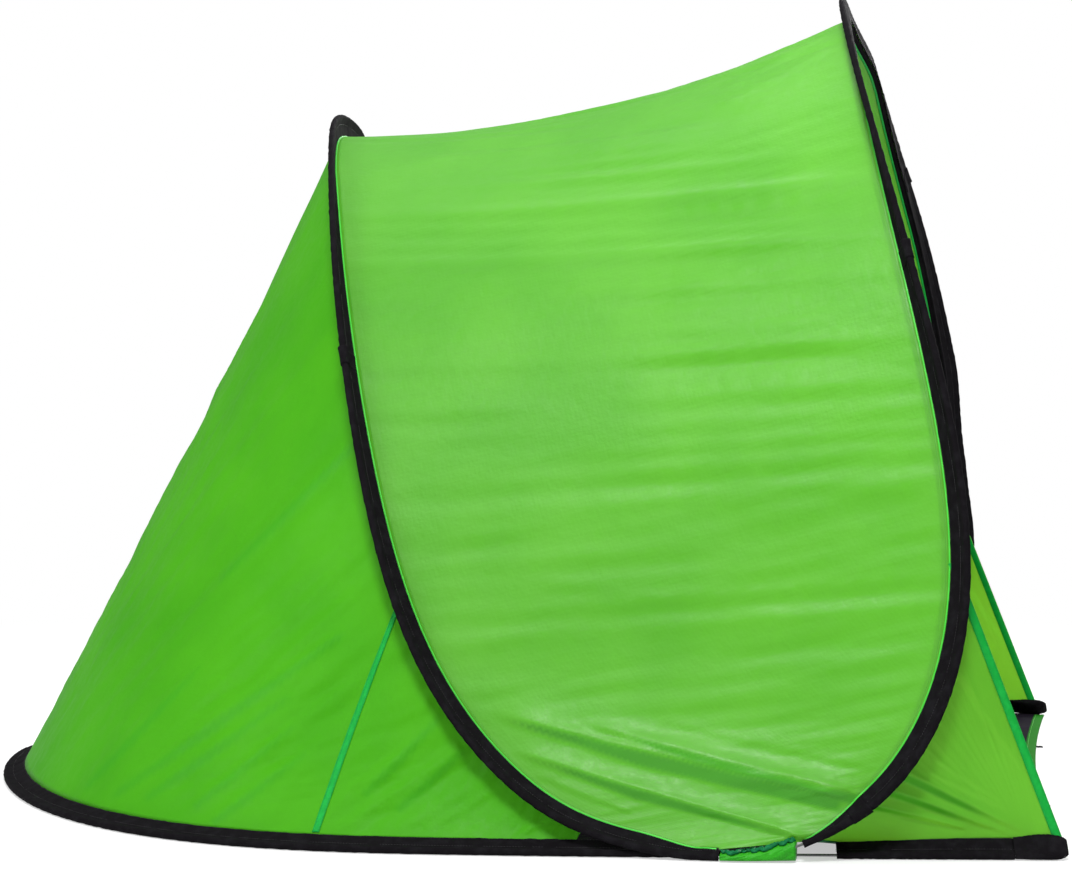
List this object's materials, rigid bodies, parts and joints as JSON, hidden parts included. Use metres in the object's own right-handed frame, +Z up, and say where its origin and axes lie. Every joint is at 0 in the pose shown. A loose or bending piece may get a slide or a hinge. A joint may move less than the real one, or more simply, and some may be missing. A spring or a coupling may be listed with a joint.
{
  "type": "pop-up beach tent",
  "caption": "Open-fronted pop-up beach shelter: sprung wire hoops in fabric sleeves carry a curved canopy, a closed back, side wings and a groundsheet.",
  "frame": {"origin": "centre of the bounding box on the ground", "axes": "+X from the closed rear to the open front, +Y across the tent, +Z up"},
  "size_m": [1.5397, 1.634, 1.1118],
  "materials": {
    "lime_canopy": "thin woven polyester, light green",
    "emerald_tape": "woven binding tape, deep green",
    "black_sleeve": "plain woven polyester, black",
    "dark_groundsheet": "coated woven sheet, near black",
    "spring_steel": "oiled spring steel wire",
    "crimp_steel": "plain crimped tube",
    "black_plastic": "moulded cap, black"
  },
  "bodies": {
    "rear": {"groundsheet_rear": "dark_groundsheet", "floor_wire_rear": "spring_steel", "floor_sleeve_rear": "black_sleeve", "hoop_wire_rear": "spring_steel", "hoop_sleeve_rear": "black_sleeve", "loop_ferrule": "crimp_steel", "sleeve_tab_rear_near": "black_sleeve", "sleeve_tab_rear_far": "black_sleeve", "rear_panel": "lime_canopy", "rear_seam_tape_near": "emerald_tape", "rear_seam_tape_far": "emerald_tape", "side_sheath_near": "lime_canopy", "side_sheath_far": "lime_canopy", "centre_panel": "lime_canopy"},
    "front": {"groundsheet_front": "dark_groundsheet", "floor_wire_front_near": "spring_steel", "floor_wire_front_far": "spring_steel", "floor_sleeve_front_near": "black_sleeve", "floor_sleeve_front_far": "black_sleeve", "wire_cap_near": "black_plastic", "wire_cap_far": "black_plastic", "corner_pocket_near": "black_sleeve", "corner_pocket_far": "black_sleeve", "hoop_wire_front": "spring_steel", "hoop_sleeve_front": "black_sleeve", "sleeve_tab_front_near": "black_sleeve", "sleeve_tab_front_far": "black_sleeve", "wing_near": "lime_canopy", "wing_far": "lime_canopy", "wing_tape_near": "emerald_tape", "wing_tape_far": "emerald_tape", "front_hem": "lime_canopy", "hem_tab_near": "black_sleeve", "hem_tab_far": "black_sleeve"}
  },
  "joints": [
    {"name": "front_fold", "type": "hinge", "parent": "rear", "child": "front", "pos_m": [0.4525, 0, 0.042], "axis": [0, -1, 0], "range_deg": [0, 35], "stiffness_Nm_per_rad": 12, "deforming": ["centre_panel"]}
  ]
}
